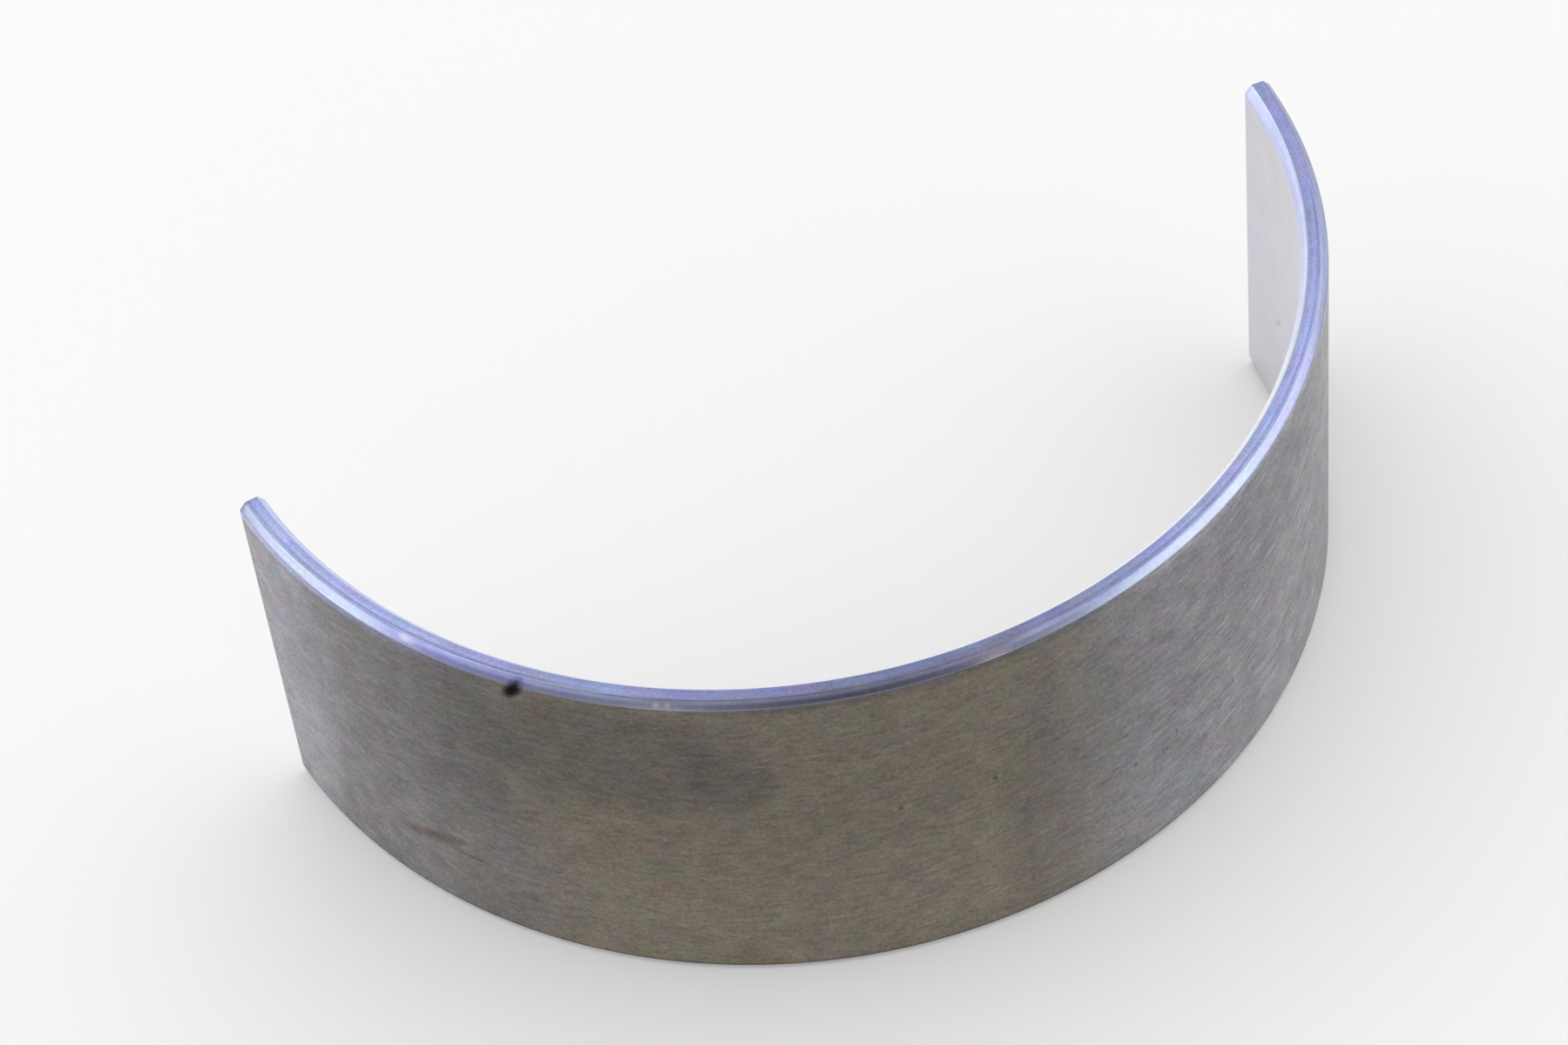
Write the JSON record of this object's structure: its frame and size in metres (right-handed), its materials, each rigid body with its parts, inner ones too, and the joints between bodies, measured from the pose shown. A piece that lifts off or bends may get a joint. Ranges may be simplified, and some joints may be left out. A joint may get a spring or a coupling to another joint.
{
  "type": "engine bearing shell",
  "caption": "Half shell of a plain engine bearing: a thin steel-backed arc, chamfered along all its rims, that lines half of a housing bore.",
  "frame": {"origin": "centre of the bounding box's base, on the surface the shell stands on", "axes": "+Z along the bearing's axis, across the shell's width; the crown of the back faces -Y and both joint faces look towards +Y; +X runs from one joint face to the other"},
  "size_m": [0.0626, 0.0294, 0.0224],
  "materials": {
    "turned_steel": "fine turned grain round the arc, satin"
  },
  "bodies": {
    "root": {"bearing_shell": "turned_steel"}
  },
  "joints": []
}
